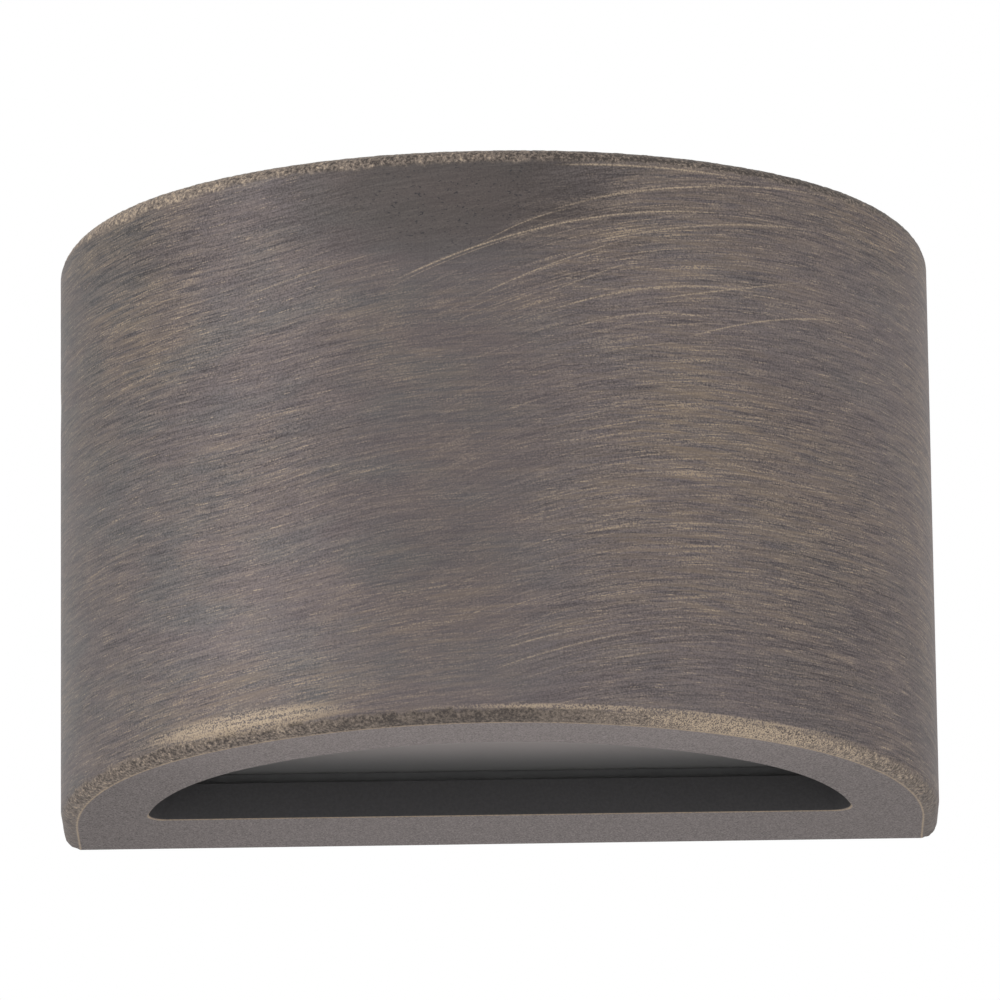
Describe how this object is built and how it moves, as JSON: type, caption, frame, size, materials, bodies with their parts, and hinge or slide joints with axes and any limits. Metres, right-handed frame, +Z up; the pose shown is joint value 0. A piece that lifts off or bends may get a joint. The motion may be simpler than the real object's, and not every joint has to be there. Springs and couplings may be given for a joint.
{
  "type": "wall step light",
  "caption": "Half-round brass wall light: a curved hood with a closed top and a D-shaped glass light opening in its underside, over a plug-in lamp on a wall plate.",
  "frame": {"origin": "middle of the rear face that sits on the wall: on the light's centreline and halfway up the housing", "axes": "+Y points into the wall and the front faces -Y; +Z is up, so the light opening faces -Z; +X is to the right seen from the front"},
  "size_m": [0.076, 0.039, 0.051],
  "materials": {
    "housing": "brushed, weathered bronze patina",
    "lens": "satin, acid-etched",
    "seal": "moulded, matt",
    "retainer": "stamped, plain",
    "screw": "turned, plain",
    "set_screw": "turned, dark",
    "plate": "stamped, plain",
    "foam": "closed-cell foam",
    "bracket": "stamped, plain",
    "ceramic": "unglazed ceramic",
    "contact": "turned, plain",
    "lead_red": "silicone insulation",
    "lead_black": "silicone insulation",
    "block": "moulded",
    "reflector": "bright sheet",
    "lamp_body": "moulded",
    "pin": "plain wire",
    "board": "white solder mask",
    "emitter": "phosphor",
    "lamp_cover": "clear"
  },
  "bodies": {
    "base": {"mounting_plate": "plate", "wall_gasket": "foam", "cable_grommet": "seal", "socket_bracket": "bracket", "bracket_screws": "screw", "lamp_socket": "ceramic", "socket_contacts": "contact", "socket_screws": "screw", "upper_lead": "lead_red", "lower_lead": "lead_black", "terminal_block": "block", "terminal_clamps": "contact", "terminal_screws": "screw", "block_screw": "screw", "reflector": "reflector", "reflector_rivets": "reflector"},
    "cover": {"housing": "housing", "lens": "lens", "lens_gasket": "seal", "lens_retainer": "retainer", "retainer_screws": "screw"},
    "left_screw": {"left_set_screw": "set_screw"},
    "right_screw": {"right_set_screw": "set_screw"},
    "lamp": {"lamp_base": "lamp_body", "lamp_pins": "pin", "lamp_board": "board", "lamp_emitters": "emitter", "lamp_cover": "lamp_cover"}
  },
  "joints": [
    {"name": "cover_slide", "type": "slide", "parent": "base", "child": "cover", "axis": [0, -1, 0], "range_m": [0, 0.045]},
    {"name": "left_screw_slide", "type": "slide", "parent": "cover", "child": "left_screw", "axis": [-1, 0, 0], "range_m": [0, 0.0015]},
    {"name": "right_screw_slide", "type": "slide", "parent": "cover", "child": "right_screw", "axis": [1, 0, 0], "range_m": [0, 0.0015]},
    {"name": "lamp_pull", "type": "slide", "parent": "base", "child": "lamp", "axis": [1, 0, 0], "range_m": [0, 0.009]}
  ]
}
